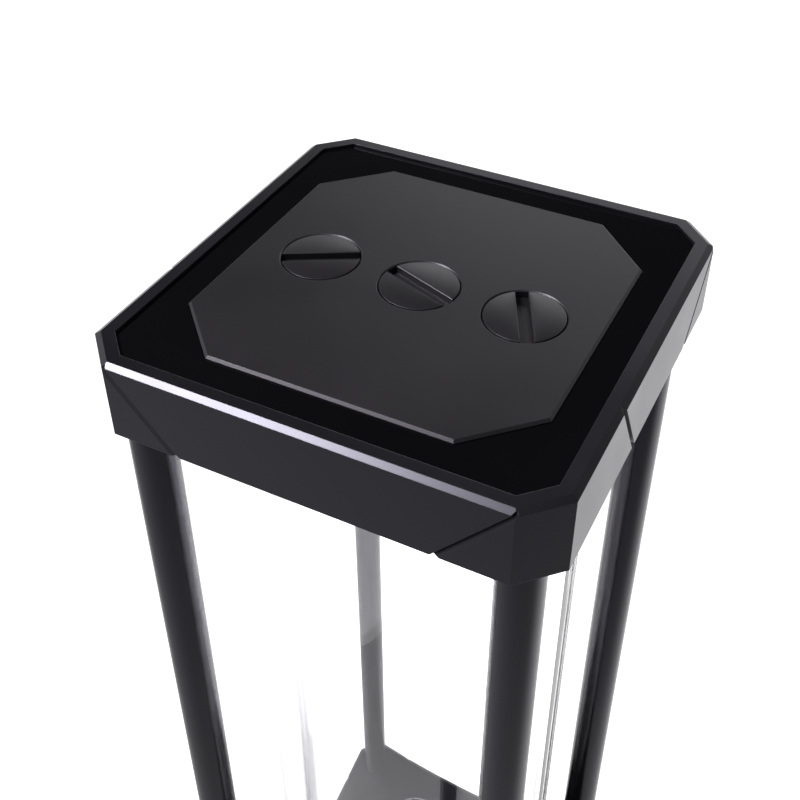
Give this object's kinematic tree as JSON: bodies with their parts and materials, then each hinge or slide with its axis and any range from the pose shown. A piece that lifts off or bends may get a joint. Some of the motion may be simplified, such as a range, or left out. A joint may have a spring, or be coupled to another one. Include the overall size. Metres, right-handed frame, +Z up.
{
  "type": "coolant pump reservoir",
  "caption": "Square black tower with a clear round coolant tube between a cap with screw plugs and a base that holds a canned-rotor pump and two hose ports.",
  "frame": {"origin": "centre of the footprint, on the surface that the feet stand on", "axes": "+Z up along the tube; -Y is the front, with the three plugs in a row along X; the hose ports open towards +Y"},
  "size_m": [0.096, 0.096, 0.316],
  "materials": {
    "black_anodised": "black anodised, fine satin",
    "gloss_black": "polished, nearly mirror-like",
    "satin_black": "black anodised, satin",
    "clear_acrylic": "clear and polished",
    "black_rod": "black anodised, turned",
    "black_acetal": "machined, fine matt",
    "black_steel": "black oxide",
    "seal_rubber": "soft black rubber",
    "white_plastic": "moulded, satin",
    "ceramic_white": "polished ceramic",
    "magnet": "moulded ferrite",
    "bright_steel": "drawn, bright",
    "lamination_steel": "stacked sheets",
    "copper_wire": "enamelled copper",
    "board_green": "solder resist",
    "dark_plastic": "moulded, matt"
  },
  "bodies": {
    "reservoir": {"top_cap": "black_anodised", "top_inlay": "gloss_black", "port_lid": "satin_black", "lid_screws": "black_steel", "pillar_screws": "black_steel", "tube_seal_top": "seal_rubber", "clear_tube": "clear_acrylic", "tube_seal_bottom": "seal_rubber", "intake_riser": "clear_acrylic", "pillar_front_left": "black_rod", "pillar_front_right": "black_rod", "pillar_back_left": "black_rod", "pillar_back_right": "black_rod", "base_housing": "black_anodised", "pump_top": "black_acetal", "pump_top_screws": "black_steel", "bearing_ball": "ceramic_white", "bearing_pin": "bright_steel", "separation_cup": "bright_steel", "pump_seal": "seal_rubber", "stator_core": "lamination_steel", "stator_coils": "copper_wire", "control_board": "board_green", "pump_can": "dark_plastic", "clamp_ring": "dark_plastic", "clamp_screws": "black_steel", "base_plate": "black_anodised", "tie_screws": "black_steel", "feet": "seal_rubber", "cable_grommet": "seal_rubber"},
    "rotor": {"impeller": "white_plastic", "rotor_magnet": "magnet"},
    "seal_left": {"plug_seal_left": "seal_rubber"},
    "screw_plug_left": {"plug_left": "satin_black"},
    "seal_middle": {"plug_seal_middle": "seal_rubber"},
    "screw_plug_middle": {"plug_middle": "satin_black"},
    "seal_right": {"plug_seal_right": "seal_rubber"},
    "screw_plug_right": {"plug_right": "satin_black"}
  },
  "joints": [
    {"name": "rotor_spin", "type": "hinge", "parent": "reservoir", "child": "rotor", "pos_m": [0, 0, 0.0425], "axis": [0, 0, 1], "continuous": true},
    {"name": "plug_left_lift", "type": "slide", "parent": "reservoir", "child": "seal_left", "axis": [0, 0, 1], "range_m": [0, 0.0091]},
    {"name": "plug_left_turn", "type": "hinge", "parent": "seal_left", "child": "screw_plug_left", "pos_m": [-0.02232, 0, 0.31], "axis": [0, 0, 1], "range_deg": [0, 2420]},
    {"name": "plug_middle_lift", "type": "slide", "parent": "reservoir", "child": "seal_middle", "axis": [0, 0, 1], "range_m": [0, 0.0091]},
    {"name": "plug_middle_turn", "type": "hinge", "parent": "seal_middle", "child": "screw_plug_middle", "pos_m": [0, 0, 0.31], "axis": [0, 0, 1], "range_deg": [0, 2420]},
    {"name": "plug_right_lift", "type": "slide", "parent": "reservoir", "child": "seal_right", "axis": [0, 0, 1], "range_m": [0, 0.0091]},
    {"name": "plug_right_turn", "type": "hinge", "parent": "seal_right", "child": "screw_plug_right", "pos_m": [0.02232, 0, 0.31], "axis": [0, 0, 1], "range_deg": [0, 2420]}
  ],
  "couplings": [
    {"joint": "plug_left_lift", "follows": "plug_left_turn", "m_per_rad": 0.00021279},
    {"joint": "plug_middle_lift", "follows": "plug_middle_turn", "m_per_rad": 0.00021279},
    {"joint": "plug_right_lift", "follows": "plug_right_turn", "m_per_rad": 0.00021279}
  ]
}
